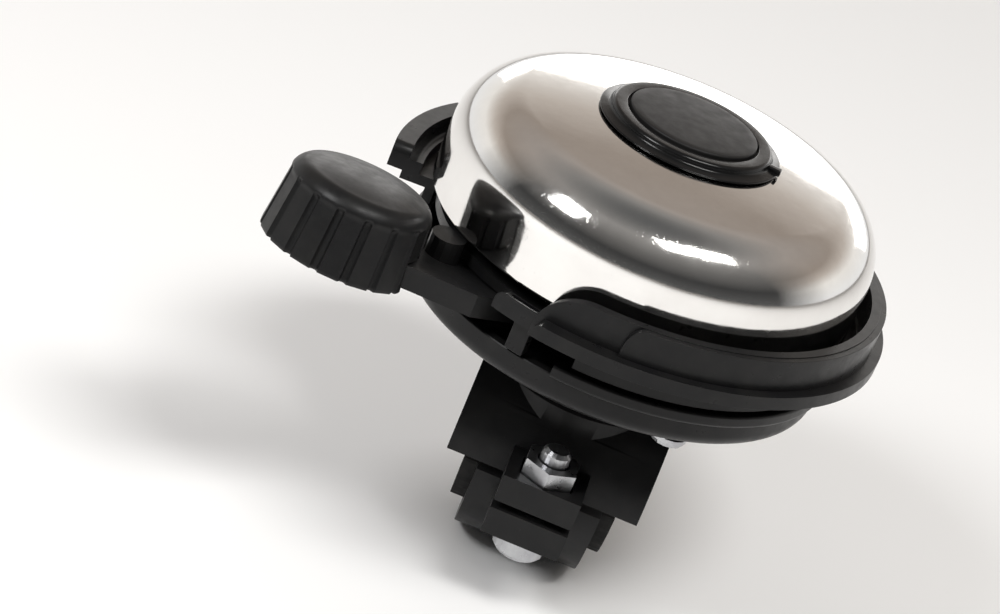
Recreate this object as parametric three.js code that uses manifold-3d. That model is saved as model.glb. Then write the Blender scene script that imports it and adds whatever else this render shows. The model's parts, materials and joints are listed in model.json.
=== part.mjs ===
// A thumb-lever bicycle bell: a pressed steel gong on a guarded plastic base, with the striker works inside
// and a hinged clamp underneath. Millimetres, +Z along the gong's axis, origin on the bar's centre line.
import * as THREE from "three";
import { mergeVertices } from "three/addons/utils/BufferGeometryUtils.js";
import Module from "manifold-3d";

const wasm = await Module();
wasm.setup();

// ---- Driving sizes -------------------------------------------------------------------------------------
const GONG_RADIUS = 30; // outside of the gong's skirt
const GONG_RISE = 17.5; // from the gong's rim to its crown
const CROWN_RADIUS = 160; // how flat the gong's top is
const SHOULDER_RADIUS = 8.65; // the round edge between the gong's top and skirt
const SHEET = 1; // the gong's sheet thickness
const DISH_RADIUS = 10.1; // the flat seat pressed into the gong's middle
const DISH_DEPTH = 1.6;
const CAP_RADIUS = 11.34; // the raised ring of the cap
const CAP_COLLAR_RADIUS = 12.75;
const CAP_RISE = 1.2; // how far the cap stands above the gong's crown
const CAP_BOSS_RADIUS = 6.1;
const CAP_BOSS_DEPTH = 4.8;
const WASHER_THICKNESS = 0.7;
const BAR_RADIUS = 11.1; // a 22.2 mm handlebar
const SHIM_THICKNESS = 1.5;
const CLAMP_WALL = 3;
const STRAP_HALF_WIDTH = 9; // along the bar
const TONGUE_HALF_WIDTH = 4.3; // the strap's part of the hinge
const SHIM_HALF_WIDTH = 11;
const PEDESTAL_RADIUS = 13.8;
const PEDESTAL_RISE = 6.25; // from the clamp's bore to the bottom of the cover
const FIT = 0.3; // the gap between neighbouring pieces
const COVER_WALL = 1.5;
const COVER_HEIGHT = 5.85;
const COVER_BEAD = 0.9; // how far the rim's bead stands out
const NOTCH_DEPTH = 1.7; // how much lower the cover's rim is where the lever comes out
const FLOOR_THICKNESS = 1.5;
const FENCE_HEIGHT = 7.7; // from the underside of the base's floor
const FENCE_GAP = 1.7; // between the gong's skirt and the fence
const FENCE_WALL = 1.3;
const FENCE_BAND = 2.15; // thickness where the outer band backs the wall
const REAR_GAP = 3.3; // the lower part of the fence behind the lever stands further out
const REAR_WALL = 2.6;
const REAR_DROP = 3;
const LEDGE_WIDTH = 3.6;
const LEDGE_THICKNESS = 1.9;
const POST_RADIUS = 2.5; // an M5 stud
const POST_NUT_FLATS = 8;
const POST_NUT_HEIGHT = 3.1;
const JOURNAL_STEP = 0.4; // how much thicker the post is where the rotor turns on it
const CLAMP_BOLT_RADIUS = 2; // an M4 screw
const CLAMP_HEAD_RADIUS = 3.6;
const CLAMP_HEAD_HEIGHT = 2.8;
const CLAMP_NUT_FLATS = 7;
const CLAMP_NUT_HEIGHT = 3.2;
const HINGE_PIN_RADIUS = 1.5;
const HINGE_KNUCKLE_RADIUS = 3.2;
const EAR_GAP = 1.2;
const EAR_THICKNESS = 4;
const EAR_HALF_WIDTH = 5.5;
const COVER_SCREW_RADIUS = 1.2;
const COVER_SCREW_HEAD_RADIUS = 2.6;
const COVER_SCREW_HEAD_HEIGHT = 1.4;
const COVER_SCREW_REACH = 5.6; // how far the screws rise above the cover's floor
const IDLER_PIN_RADIUS = 1.5;
const LEVER_THICKNESS = 2.5;
const SPRING_WIRE_RADIUS = 0.45;
const SPRING_LEG = 5.3; // how far the spring's legs reach out from the coil
const SPRING_PEG_RADIUS = 1.2;
const SPRING_PEG_GAP = 0.2;
const SPRING_FIXED_ANGLE = 100; // degrees, where the spring's lower leg leaves the coil
const SPRING_MOVING_ANGLE = 191.8;
const STRIKER_RADIUS = 5.2;
const STRIKER_HOLE = 2.6;
const STRIKER_THICKNESS = 3;
const STRIKER_PIN_RADIUS = 1.4;
const STRIKER_PLAY = 0.9; // how far a striker can slide each way on its pin
const MODULE = 1; // tooth size of every gear
const RING_TEETH = 40; // teeth a full turn of the lever's inside gear would have
const IDLER_SMALL_TEETH = 8;
const IDLER_LARGE_TEETH = 22;
const ROTOR_TEETH = 10;
const LEVER_TRAVEL = 18; // degrees the thumb lever swings
const KNOB_RADIUS = 9.8; // at the rounded top edge
const KNOB_FLARE = 0.7; // how much wider the knob's foot is
const KNOB_GAP = 1.14; // between the stop stud and the knob's foot
const STUD_RADIUS = 2.4; // the stop stud on the lever, beside the gong
const STUD_OFFSET = 1.1; // how far out of the gong's skirt the stud's middle is
const KNOB_ANGLE = -144.11; // degrees round the gong
const KNOB_HEIGHT = 11.4;
const KNOB_GROOVES = 16;
const KNOB_PHASE = 0.7; // where the first groove is, in groove steps
const KNOB_GROOVE_DEPTH = 0.75;
const KNOB_GROOVE_WIDTH = 1.1;
const KNOB_BORE = 6.8;

// ---- Sizes that follow ---------------------------------------------------------------------------------
const SHIM_RADIUS = BAR_RADIUS + SHIM_THICKNESS;
const SADDLE_BORE = SHIM_RADIUS + FIT;
const CLAMP_RADIUS = SADDLE_BORE + CLAMP_WALL;
const PEDESTAL_TOP = SADDLE_BORE + PEDESTAL_RISE;
const COVER_BOTTOM = PEDESTAL_TOP + FIT;
const COVER_FLOOR = COVER_BOTTOM + COVER_WALL;
const COVER_RIM = COVER_BOTTOM + COVER_HEIGHT;
const COVER_RADIUS = GONG_RADIUS - FIT;
const BEAD_RADIUS = COVER_RADIUS + COVER_BEAD;
const NOTCH_FLOOR = COVER_RIM - NOTCH_DEPTH;
const LEVER_BOTTOM = COVER_RIM + FIT;
const LEVER_TOP = LEVER_BOTTOM + LEVER_THICKNESS;
const FLOOR_BOTTOM = LEVER_TOP + 0.5;
const FLOOR_TOP = FLOOR_BOTTOM + FLOOR_THICKNESS;
const FENCE_TOP = FLOOR_BOTTOM + FENCE_HEIGHT;
const FENCE_INNER = GONG_RADIUS + FENCE_GAP;
const FENCE_THIN = FENCE_INNER + FENCE_WALL;
const FENCE_OUTER = FENCE_INNER + FENCE_BAND;
const FLOOR_RADIUS = FENCE_INNER + 0.2;
const LEDGE_RADIUS = FENCE_INNER + LEDGE_WIDTH;
const LEDGE_BOTTOM = FLOOR_BOTTOM + 1.2;
const LEDGE_TOP = LEDGE_BOTTOM + LEDGE_THICKNESS;
const REAR_INNER = GONG_RADIUS + REAR_GAP;
const REAR_OUTER = REAR_INNER + REAR_WALL;
const REAR_TOP = FENCE_TOP - REAR_DROP;
const SKIRT_OUTER = GONG_RADIUS;
const SKIRT_INNER = SKIRT_OUTER - 1.5;
const GEAR_BOTTOM = FLOOR_TOP + 1.2;
const ARM_BOTTOM = GEAR_BOTTOM + 2.3;
const ARM_TOP = ARM_BOTTOM + 1.2;
const SHOULDER_TOP = ARM_TOP + 1.6; // the post's shoulder, above the rotor
const RIM_Z = FENCE_TOP - 4;
const APEX = RIM_Z + GONG_RISE;
const SEAT_Z = APEX - DISH_DEPTH;
const CAP_TOP = APEX + CAP_RISE;
const JOURNAL_RADIUS = POST_RADIUS + JOURNAL_STEP;
const BOSS_RADIUS = JOURNAL_RADIUS + 3.1; // the pivot the lever turns on
const HUB_RADIUS = BOSS_RADIUS + FIT + 1.7;
const COIL_RADIUS = HUB_RADIUS + 1.3;
const SPRING_LEG_END = COIL_RADIUS + SPRING_LEG;
const SPRING_PEG_CIRCLE = SPRING_LEG_END - 1.6;
// The angle between a spring leg and the peg beside it, which leaves SPRING_PEG_GAP between them.
const SPRING_PEG_STEP =
  (Math.asin((SPRING_PEG_RADIUS + SPRING_WIRE_RADIUS + SPRING_PEG_GAP) / SPRING_PEG_CIRCLE) * 180) / Math.PI;
const IDLER_DISTANCE = (MODULE * (RING_TEETH - IDLER_SMALL_TEETH)) / 2;
const IDLER_ANGLE = 20;
const LEVER_DISC = (MODULE * RING_TEETH) / 2 + 3.2;
const SCREW_BOSS_RADIUS = COVER_SCREW_RADIUS + 0.9;
const SCREW_CIRCLE = LEVER_DISC + SCREW_BOSS_RADIUS + FIT;
const SCREW_ANGLES = [-62, 52, 164];
const STRIKER_CIRCLE = GONG_RADIUS - SHEET - STRIKER_RADIUS - STRIKER_PLAY - 0.4;
const ROTOR_REST = 110; // degrees, the way the striker arm points at rest
const WINDOW = { start: -179, end: -100 }; // degrees, the low part of the cover's rim
const GAP = { start: -173, end: -119.2 }; // degrees, where the base's floor is cut back for the lever
const HINGE_Y = CLAMP_RADIUS + HINGE_PIN_RADIUS + 0.2;
const SCREW_Y = -(CLAMP_RADIUS + CLAMP_BOLT_RADIUS + 1.6);

// The thumb knob stands on the lever's end, square to an arm that rises outwards.
const KNOB_FOOT_RADIUS = KNOB_RADIUS + KNOB_FLARE;
const KNOB_REACH = STUD_OFFSET + STUD_RADIUS + KNOB_GAP + KNOB_FOOT_RADIUS; // from the gong's skirt
const KNOB_AT = new THREE.Vector3(
  (GONG_RADIUS + KNOB_REACH) * Math.cos(rad(KNOB_ANGLE)),
  (GONG_RADIUS + KNOB_REACH) * Math.sin(rad(KNOB_ANGLE)),
  FLOOR_BOTTOM - 2.3,
);
const KNOB_AXIS = new THREE.Vector3(Math.tan(rad(3.8)), Math.tan(rad(8.3)), 1).normalize();
const KNOB_TURN = new THREE.Quaternion().setFromUnitVectors(new THREE.Vector3(0, 0, 1), KNOB_AXIS);

// ---- Shape helpers -------------------------------------------------------------------------------------
function rad(degrees) {
  return (degrees * Math.PI) / 180;
}

// A point at a radius and an angle in degrees.
function polar(radius, degrees) {
  return new THREE.Vector2(radius * Math.cos(rad(degrees)), radius * Math.sin(rad(degrees)));
}

// A three.js geometry as a solid that can be joined and cut.
function solid(geometry) {
  const bare = geometry.clone();
  bare.deleteAttribute("normal");
  bare.deleteAttribute("uv");
  const merged = mergeVertices(bare, 1e-4);
  const mesh = new wasm.Mesh({
    numProp: 3,
    vertProperties: merged.attributes.position.array,
    triVerts: new Uint32Array(merged.index.array),
  });
  return new wasm.Manifold(mesh);
}

// A solid as a geometry that a mesh can show.
function shown(body) {
  const mesh = body.getMesh();
  const count = mesh.vertProperties.length / mesh.numProp;
  const places = new Float32Array(count * 3);
  for (let i = 0; i < count; i++) {
    for (let k = 0; k < 3; k++) places[i * 3 + k] = mesh.vertProperties[i * mesh.numProp + k];
  }
  const geometry = new THREE.BufferGeometry();
  geometry.setAttribute("position", new THREE.BufferAttribute(places, 3));
  geometry.setIndex(new THREE.BufferAttribute(new Uint32Array(mesh.triVerts), 1));
  const flat = geometry.toNonIndexed();
  flat.computeVertexNormals();
  return flat;
}

function join(...bodies) {
  return bodies.reduce((whole, next) => whole.add(next));
}

function cut(body, ...tools) {
  return tools.reduce((left, tool) => left.subtract(tool), body);
}

// A solid of revolution about Z. The profile is a list of [radius, height].
function turned(profile, segments = 40) {
  const closed = profile[0][0] === 0 && profile.at(-1)[0] === 0 ? profile : [...profile, profile[0]];
  let area = 0;
  for (let i = 0; i < profile.length; i++) {
    const [r0, z0] = profile[i];
    const [r1, z1] = profile[(i + 1) % profile.length];
    area += r0 * z1 - r1 * z0;
  }
  const ordered = area > 0 ? closed : [...closed].reverse();
  const points = ordered.map(([r, z]) => new THREE.Vector2(r, z));
  const geometry = new THREE.LatheGeometry(points, segments);
  geometry.rotateX(Math.PI / 2);
  return solid(geometry);
}

// A round bar standing on Z.
function rod(radius, bottom, top, segments = 24) {
  return turned([[0, bottom], [radius, bottom], [radius, top], [0, top]], segments);
}

// A flat ring round Z.
function tube(inner, outer, bottom, top, segments = 24) {
  return turned([[inner, bottom], [outer, bottom], [outer, top], [inner, top]], segments);
}

function rodAt(x, y, radius, bottom, top, segments = 16) {
  return rod(radius, bottom, top, segments).translate([x, y, 0]);
}

// A flat plate from an outline in XY.
function plate(shape, bottom, top) {
  const options = { depth: top - bottom, bevelEnabled: false, curveSegments: 7 };
  const geometry = new THREE.ExtrudeGeometry(shape, options);
  geometry.translate(0, 0, bottom);
  return solid(geometry);
}

function box(low, high) {
  const geometry = new THREE.BoxGeometry(high[0] - low[0], high[1] - low[1], high[2] - low[2]);
  geometry.translate((low[0] + high[0]) / 2, (low[1] + high[1]) / 2, (low[2] + high[2]) / 2);
  return solid(geometry);
}

// Points along an arc, on the same nine-degree grid as the turned pieces.
function arc(radius, start, end) {
  const angles = [start];
  for (let a = Math.ceil((start + 0.01) / 9) * 9; a < end - 0.01; a += 9) angles.push(a);
  angles.push(end);
  return angles.map((a) => polar(radius, a));
}

// Part of a ring between two radii, two angles and two heights.
function sector(inner, outer, start, end, bottom, top) {
  const shape = new THREE.Shape([...arc(outer, start, end), ...arc(inner, start, end).reverse()]);
  return plate(shape, bottom, top);
}

// Rounds the upper corner of a wall's end. side is +1 if the wall runs towards larger angles from the end.
function cornerCutter(angle, side, inner, outer, top, along, down) {
  const shape = new THREE.Shape();
  shape.moveTo(-4, top - down);
  shape.lineTo(0, top - down);
  for (let i = 1; i <= 6; i++) {
    const t = (i * Math.PI) / 12;
    shape.lineTo(along * (1 - Math.cos(t)), top - down * (1 - Math.sin(t)));
  }
  shape.lineTo(along, top + 2);
  shape.lineTo(-4, top + 2);
  const geometry = new THREE.ExtrudeGeometry(shape, { depth: outer - inner, bevelEnabled: false });
  const out = new THREE.Vector3(Math.cos(rad(angle)), Math.sin(rad(angle)), 0);
  const alongWall = new THREE.Vector3(-out.y * side, out.x * side, 0);
  const up = new THREE.Vector3(0, 0, 1);
  const place = new THREE.Matrix4().makeBasis(alongWall, up, out.clone().multiplyScalar(side));
  place.setPosition(out.clone().multiplyScalar(side > 0 ? inner : outer));
  geometry.applyMatrix4(place);
  return solid(geometry);
}

// Half of a tooth's angle, in radians, at a radius. A positive thinning makes the tooth narrower.
function toothHalfAngle(radius, teeth, thinning) {
  const pressure = rad(25);
  const pitch = (MODULE * teeth) / 2;
  const base = pitch * Math.cos(pressure);
  const roll = (r) => {
    const lean = Math.acos(Math.min(1, base / Math.max(r, base)));
    return Math.tan(lean) - lean;
  };
  return Math.PI / (2 * teeth) - thinning / (2 * pitch) + roll(pitch) - roll(radius);
}

// The outline of an outside gear with a tooth pointing along phase, in degrees.
function gearOutline(teeth, phase) {
  const pitch = (MODULE * teeth) / 2;
  const tip = pitch + 0.8 * MODULE;
  const start = pitch - 1.1 * MODULE;
  const radii = [start, pitch, tip];
  const points = [];
  for (let i = 0; i < teeth; i++) {
    const middle = rad(phase) + (i * 2 * Math.PI) / teeth;
    const rising = radii.map((r) => turnedPoint(r, middle - toothHalfAngle(r, teeth, 0.12)));
    const falling = radii.map((r) => turnedPoint(r, middle + toothHalfAngle(r, teeth, 0.12)));
    points.push(...rising, ...falling.reverse());
  }
  return new THREE.Shape(points);
}

function turnedPoint(radius, radians) {
  return new THREE.Vector2(radius * Math.cos(radians), radius * Math.sin(radians));
}

function hexagon(acrossFlats, x = 0, y = 0) {
  const corner = acrossFlats / Math.sqrt(3);
  const points = [0, 60, 120, 180, 240, 300].map((a) => polar(corner, a + 30).add(new THREE.Vector2(x, y)));
  return new THREE.Shape(points);
}

// Moves a solid from the knob's own frame, where Z is the knob's axis, to the bell's frame.
function ontoKnob(body) {
  const matrix = new THREE.Matrix4().compose(KNOB_AT, KNOB_TURN, new THREE.Vector3(1, 1, 1));
  return body.transform(matrix.elements);
}

// A round bar lying along X.
function rodAlongX(y, z, radius, left, right, segments = 32) {
  return rod(radius, left, right, segments).rotate([0, 90, 0]).translate([0, y, z]);
}

// ---- The gong and its cap ------------------------------------------------------------------------------
// Heights of the gong's outside, from the dished middle over the crown and shoulder and down the skirt.
function gongLine(offset) {
  const crownCentre = APEX - CROWN_RADIUS;
  const shoulderCentre = GONG_RADIUS - SHOULDER_RADIUS;
  const reach = CROWN_RADIUS - SHOULDER_RADIUS;
  const shoulderZ = crownCentre + Math.sqrt(reach * reach - shoulderCentre * shoulderCentre);
  const meet = Math.atan2(shoulderZ - crownCentre, shoulderCentre);
  const line = [[CAP_BOSS_RADIUS + 0.4, SEAT_Z - offset], [DISH_RADIUS - offset * 0.2, SEAT_Z - offset]];
  for (const r of [DISH_RADIUS + 1.3, (DISH_RADIUS + shoulderCentre) / 2 + 0.8]) {
    line.push([r, crownCentre + Math.sqrt((CROWN_RADIUS - offset) ** 2 - r * r)]);
  }
  for (let i = 0; i <= 5; i++) {
    const a = meet - (meet * i) / 5;
    const radius = SHOULDER_RADIUS - offset;
    line.push([shoulderCentre + radius * Math.cos(a), shoulderZ + radius * Math.sin(a)]);
  }
  line.push([GONG_RADIUS - offset, RIM_Z]);
  return line;
}

function gongDome() {
  return turned([...gongLine(0), ...gongLine(SHEET).reverse()]);
}

function capNut() {
  const under = APEX - FIT;
  const recess = CAP_RADIUS - 2.09;
  const profile = [
    [0, SEAT_Z + 0.9], [POST_RADIUS + FIT, SEAT_Z + 0.9], [POST_RADIUS + FIT, SEAT_Z - CAP_BOSS_DEPTH],
    [CAP_BOSS_RADIUS, SEAT_Z - CAP_BOSS_DEPTH], [CAP_BOSS_RADIUS, SEAT_Z + FIT],
    [DISH_RADIUS - 0.4, SEAT_Z + FIT], [DISH_RADIUS + 0.2, under], [CAP_COLLAR_RADIUS, under],
    [CAP_COLLAR_RADIUS, under + 0.35], [CAP_RADIUS, under + 0.45],
    [CAP_RADIUS, CAP_TOP - 0.5], [CAP_RADIUS - 0.34, CAP_TOP - 0.12], [CAP_RADIUS - 0.74, CAP_TOP],
    [recess, CAP_TOP], [recess, CAP_TOP - 1.1], [0, CAP_TOP - 1.1],
  ];
  const lug = sector(CAP_RADIUS - 0.14, CAP_COLLAR_RADIUS + 0.35, -11, -5, under, under + 0.9);
  return join(turned(profile), lug);
}

function capDisc() {
  const bottom = CAP_TOP - 0.85;
  const edge = CAP_RADIUS - 2.09 - FIT;
  return turned([
    [0, bottom], [edge, bottom], [edge, CAP_TOP + 0.15], [edge - 0.35, CAP_TOP + 0.4],
    [edge - 4, CAP_TOP + 0.62], [0, CAP_TOP + 0.7],
  ], 30);
}

function gongWasher() {
  const top = SEAT_Z - SHEET - FIT;
  const inner = CAP_BOSS_RADIUS + 0.4;
  const outer = DISH_RADIUS - FIT;
  return tube(inner, outer, top - WASHER_THICKNESS, top);
}

// ---- The middle post -----------------------------------------------------------------------------------
function centrePost() {
  const foot = SADDLE_BORE + 0.1;
  const journal = FLOOR_TOP + 0.8 + FIT;
  const shoulder = JOURNAL_RADIUS + 1.5;
  const profile = [
    [0, foot], [POST_RADIUS, foot], [POST_RADIUS, journal], [JOURNAL_RADIUS, journal],
    [JOURNAL_RADIUS, SHOULDER_TOP - 1.2], [shoulder, SHOULDER_TOP - 1.2], [shoulder, SHOULDER_TOP],
    [POST_RADIUS, SHOULDER_TOP], [POST_RADIUS, SEAT_Z + 0.3], [POST_RADIUS - 0.4, SEAT_Z + 0.6],
    [0, SEAT_Z + 0.6],
  ];
  return turned(profile, 24);
}

function gongPillar() {
  const bottom = SHOULDER_TOP + FIT;
  const top = SEAT_Z - SHEET - FIT - WASHER_THICKNESS - FIT;
  const cup = SEAT_Z - CAP_BOSS_DEPTH - FIT;
  const bore = POST_RADIUS + FIT;
  const neck = CAP_BOSS_RADIUS + 0.4;
  const flange = DISH_RADIUS - FIT;
  const profile = [
    [bore, bottom], [bore + 1.8, bottom], [bore + 1.8, cup - 2.4], [neck + 1.4, cup - 0.8],
    [neck + 1.4, top - 1], [flange, top - 1], [flange, top], [neck, top], [neck, cup], [bore, cup],
  ];
  return turned(profile, 24);
}

function postNut() {
  const nut = plate(hexagon(POST_NUT_FLATS), SADDLE_BORE + FIT, SADDLE_BORE + POST_NUT_HEIGHT);
  return cut(nut, rod(POST_RADIUS + FIT, SADDLE_BORE - 2, SADDLE_BORE + POST_NUT_HEIGHT + 2));
}

// ---- The base: floor, guard fence, ledge and bosses ----------------------------------------------------
function guardFence() {
  const frontEnd = -107.6;
  const bandStart = -87.5;
  const rearEnd = 184;
  const thinWall = cut(
    sector(FENCE_INNER, FENCE_THIN, frontEnd, -80, FLOOR_BOTTOM, FENCE_TOP),
    cornerCutter(frontEnd, 1, FENCE_INNER - 3, FENCE_THIN + 3, FENCE_TOP, 7, FENCE_HEIGHT - 1.7),
  );
  const band = cut(
    sector(FENCE_INNER + FENCE_WALL / 2, FENCE_OUTER, bandStart, 152, LEDGE_TOP - 0.4, FENCE_TOP - 0.12),
    cornerCutter(bandStart, 1, FENCE_INNER - 3, FENCE_OUTER + 3, FENCE_TOP, 2, 3.6),
  );
  const wall = sector(FENCE_INNER, FENCE_THIN, -85, 152, FLOOR_BOTTOM, FENCE_TOP);
  const rear = cut(
    sector(REAR_INNER, REAR_OUTER, 148, rearEnd, LEDGE_BOTTOM, REAR_TOP),
    cornerCutter(rearEnd, -1, REAR_INNER - 3, REAR_OUTER + 3, REAR_TOP, 1.6, 1.6),
  );
  const rearFloor = sector(FLOOR_RADIUS - 0.6, REAR_INNER + 0.4, 148, rearEnd, FLOOR_BOTTOM, FLOOR_TOP);
  return join(thinWall, wall, band, rear, rearFloor);
}

function baseTray() {
  const floor = rod(FLOOR_RADIUS, FLOOR_BOTTOM, FLOOR_TOP, 40);
  const away = LEDGE_RADIUS + 6;
  const leverGap = sector(SKIRT_INNER - 0.3, away, GAP.start, GAP.end, FLOOR_BOTTOM - 1, FENCE_TOP + 1);
  const ledge = sector(FLOOR_RADIUS - 0.4, LEDGE_RADIUS, -106, 184, LEDGE_BOTTOM, LEDGE_TOP);
  const lowWall = sector(FLOOR_RADIUS - 1.3, FLOOR_RADIUS, GAP.end, -104, FLOOR_BOTTOM, FENCE_TOP - 5);
  const back = FLOOR_RADIUS - 0.3;
  const setBackWall = sector(back - 0.7, back, -115.6, -104, FLOOR_BOTTOM, FENCE_TOP - 2.1);
  const skirt = sector(SKIRT_INNER, SKIRT_OUTER, -96, 181, COVER_RIM + 0.4, FLOOR_BOTTOM + 0.4);
  const stopFoot = NOTCH_FLOOR + FIT;
  const stopPost = sector(SKIRT_INNER - 0.2, SKIRT_OUTER + 0.3, -113.5, -108.5, stopFoot, FLOOR_BOTTOM + 0.4);
  const middleBoss = rod(BOSS_RADIUS, COVER_FLOOR + 0.35, FLOOR_BOTTOM + 0.5, 30);
  const thrustPad = rod(POST_RADIUS + FIT + 1.8, FLOOR_TOP - 0.5, FLOOR_TOP + 0.8);
  const idlerAt = polar(IDLER_DISTANCE, IDLER_ANGLE);
  const idlerRoom = (MODULE * IDLER_SMALL_TEETH) / 2 + MODULE + 0.2;
  const idlerHole = rodAt(idlerAt.x, idlerAt.y, idlerRoom, FLOOR_BOTTOM - 1, FLOOR_TOP + 1, 24);
  const postHole = rod(POST_RADIUS + FIT, COVER_FLOOR - 1, FLOOR_TOP + 3);
  let tray = cut(join(floor, middleBoss, thrustPad, skirt, stopPost), leverGap);
  tray = join(tray, guardFence(), ledge, lowWall, setBackWall);
  for (const angle of SCREW_ANGLES) {
    const at = polar(SCREW_CIRCLE, angle);
    tray = join(tray, rodAt(at.x, at.y, SCREW_BOSS_RADIUS, COVER_FLOOR + 0.7, FLOOR_BOTTOM + 0.5, 14));
    const holeTop = COVER_FLOOR + COVER_SCREW_REACH + FIT;
    tray = cut(tray, rodAt(at.x, at.y, COVER_SCREW_RADIUS + FIT, COVER_FLOOR - 1, holeTop, 10));
  }
  return cut(tray, idlerHole, postHole);
}

// ---- The cover under the base --------------------------------------------------------------------------
function lowerCover() {
  const shell = turned([
    [POST_RADIUS + 0.4, COVER_BOTTOM], [COVER_RADIUS - 2.1, COVER_BOTTOM],
    [COVER_RADIUS - 0.9, COVER_BOTTOM + 0.35], [COVER_RADIUS - 0.25, COVER_BOTTOM + 1.1],
    [COVER_RADIUS, COVER_BOTTOM + 2.1], [COVER_RADIUS, COVER_RIM - 2],
    [BEAD_RADIUS, COVER_RIM - 1.7], [BEAD_RADIUS, COVER_RIM - 0.3], [BEAD_RADIUS - 0.3, COVER_RIM],
    [COVER_RADIUS - COVER_WALL, COVER_RIM], [COVER_RADIUS - COVER_WALL, COVER_FLOOR + 0.6],
    [COVER_RADIUS - COVER_WALL - 0.7, COVER_FLOOR], [POST_RADIUS + 0.4, COVER_FLOOR],
  ]);
  const idlerAt = polar(IDLER_DISTANCE, IDLER_ANGLE);
  const idlerBoss = rodAt(idlerAt.x, idlerAt.y, IDLER_PIN_RADIUS + 1.7, COVER_FLOOR - 0.5, LEVER_BOTTOM - 1);
  const pinRoom = IDLER_PIN_RADIUS + 0.15;
  const idlerHole = rodAt(idlerAt.x, idlerAt.y, pinRoom, COVER_BOTTOM + 0.8, LEVER_BOTTOM, 20);
  const pegAt = polar(SPRING_PEG_CIRCLE, SPRING_FIXED_ANGLE - SPRING_PEG_STEP);
  const springPeg = rodAt(pegAt.x, pegAt.y, SPRING_PEG_RADIUS, COVER_FLOOR - 0.5, LEVER_BOTTOM - 0.65, 16);
  const { start, end } = WINDOW;
  const notch = sector(COVER_RADIUS - 3, BEAD_RADIUS + 1, start, end, NOTCH_FLOOR, COVER_RIM + 1);
  let cover = cut(join(shell, idlerBoss, springPeg), idlerHole, notch);
  for (const angle of SCREW_ANGLES) {
    const at = polar(SCREW_CIRCLE, angle);
    cover = cut(cover, rodAt(at.x, at.y, COVER_SCREW_RADIUS + 0.35, COVER_BOTTOM - 1, COVER_FLOOR + 1, 12));
  }
  return cover;
}

function coverScrew(angle) {
  const top = COVER_BOTTOM - FIT;
  const bottom = top - COVER_SCREW_HEAD_HEIGHT;
  const head = COVER_SCREW_HEAD_RADIUS;
  const tip = COVER_FLOOR + COVER_SCREW_REACH;
  const screw = turned([
    [0, bottom], [head - 0.9, bottom], [head - 0.3, bottom + 0.25], [head, bottom + 0.8], [head, top],
    [COVER_SCREW_RADIUS, top], [COVER_SCREW_RADIUS, tip - 0.7], [COVER_SCREW_RADIUS - 0.7, tip], [0, tip],
  ], 14);
  const slots = join(
    box([-1.5, -0.3, bottom - 0.6], [1.5, 0.3, bottom + 0.6]),
    box([-0.3, -1.5, bottom - 0.6], [0.3, 1.5, bottom + 0.6]),
  );
  const at = polar(SCREW_CIRCLE, angle);
  return cut(screw, slots).translate([at.x, at.y, 0]);
}

// ---- The thumb lever and its knob ----------------------------------------------------------------------
// The arm seen from above, as distances out along the knob's direction and to its side.
// spread widens it, to cut the knob's notch with a gap.
function armOutline(spread) {
  const knob = GONG_RADIUS + KNOB_REACH;
  const corners = [
    [LEVER_DISC - 3.66, 10.8],
    [GONG_RADIUS - 3.56, 11.97 + spread],
    [GONG_RADIUS + 0.71, 12.59 + spread],
    [knob - 4.51, KNOB_FOOT_RADIUS - 3 + spread],
    [knob + 0.96 + spread, 6.39 + spread],
    [knob + 0.05 + spread, 0.01],
    [knob - 5.47 + spread, -3.52 - spread],
    [GONG_RADIUS + 4.19, -1.54 - spread],
    [GONG_RADIUS - 0.7, -3.18 - spread],
    [LEVER_DISC - 1.1, -5.62 - spread],
  ];
  const middle = new THREE.Vector2(0, 0);
  const turn = rad(KNOB_ANGLE);
  const points = corners.map(([out, side]) => new THREE.Vector2(out, side).rotateAround(middle, turn));
  return new THREE.Shape(points);
}

// Everything between two heights in the knob's tilted frame, cut to the arm's outline.
function armSlab(spread, low, high) {
  const upright = plate(armOutline(spread), FENCE_TOP - 26, FENCE_TOP + 6);
  const slab = ontoKnob(box([-30, -40, low], [60, 50, high]));
  return upright.intersect(slab);
}

// The lever's disc with its inside gear: a window whose far edge is toothed.
function leverDisc() {
  const pitch = (MODULE * RING_TEETH) / 2;
  const tip = pitch - 0.65 * MODULE;
  const root = pitch + 1.15 * MODULE;
  const step = 360 / RING_TEETH;
  const first = IDLER_ANGLE - 28;
  const last = IDLER_ANGLE + LEVER_TRAVEL + 26;
  const window = [polar(tip, first)];
  for (let k = -2; k <= Math.ceil(LEVER_TRAVEL / step) + 2; k++) {
    const middle = rad(IDLER_ANGLE + k * step);
    const radii = [tip, pitch, (pitch + root) / 2, root];
    const rising = radii.map((r) => turnedPoint(r, middle - toothHalfAngle(r, RING_TEETH, -0.12)));
    const falling = radii.map((r) => turnedPoint(r, middle + toothHalfAngle(r, RING_TEETH, -0.12)));
    window.push(...rising, ...falling.reverse());
  }
  window.push(polar(tip, last));
  window.push(...arc(HUB_RADIUS + 2.2, first, last).reverse());
  const disc = new THREE.Shape(arc(LEVER_DISC, 0, 360).slice(0, -1));
  disc.holes.push(new THREE.Path(window));
  return plate(disc, LEVER_BOTTOM, LEVER_TOP);
}

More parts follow.
